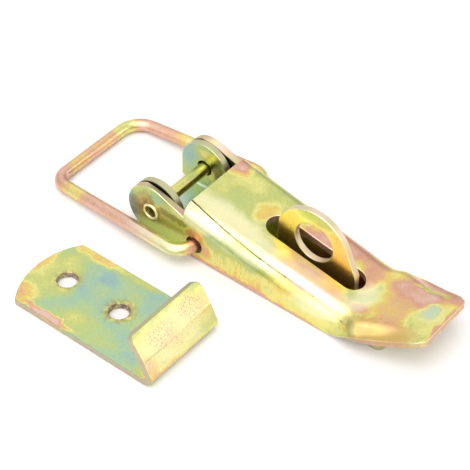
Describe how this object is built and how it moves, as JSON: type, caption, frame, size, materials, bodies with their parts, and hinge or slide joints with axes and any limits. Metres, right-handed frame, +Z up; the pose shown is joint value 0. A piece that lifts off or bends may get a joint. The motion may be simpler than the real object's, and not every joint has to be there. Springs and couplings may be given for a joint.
{
  "type": "over centre toggle latch",
  "caption": "Pressed steel over centre toggle latch with a wire bail, a padlock eye through the lever and a separate catch plate.",
  "frame": {"origin": "on the base's underside, straight below the lever's pivot", "axes": "+X along the latch toward the thumb tab, +Z up away from the mounting surface, +Y to the side away from the catch plate"},
  "size_m": [0.1127, 0.0731, 0.0229],
  "materials": {
    "zinc_yellow_sheet": "yellow chromate over zinc, semi-gloss",
    "zinc_yellow_floor": "yellow chromate over zinc, semi-gloss",
    "zinc_yellow_eye": "yellow chromate over zinc, semi-gloss",
    "zinc_rivet": "yellow chromate over zinc, rolled end bright",
    "zinc_yellow_wire": "yellow chromate over zinc, semi-gloss",
    "zinc_yellow_plate": "yellow chromate over zinc, semi-gloss"
  },
  "bodies": {
    "base": {"base_plate": "zinc_yellow_floor", "padlock_eye": "zinc_yellow_eye", "catch_plate": "zinc_yellow_plate"},
    "lever": {"lever": "zinc_yellow_sheet", "pivot_rivet": "zinc_rivet"},
    "bail": {"wire_bail": "zinc_yellow_wire"}
  },
  "joints": [
    {"name": "lever_pivot", "type": "hinge", "parent": "base", "child": "lever", "pos_m": [0, 0, 0.008], "axis": [0, -1, 0], "range_deg": [0, 145]},
    {"name": "bail_pivot", "type": "hinge", "parent": "lever", "child": "bail", "pos_m": [0.0134, 0.0015, 0.0044], "axis": [0, 1, 0], "range_deg": [0, 145]}
  ]
}
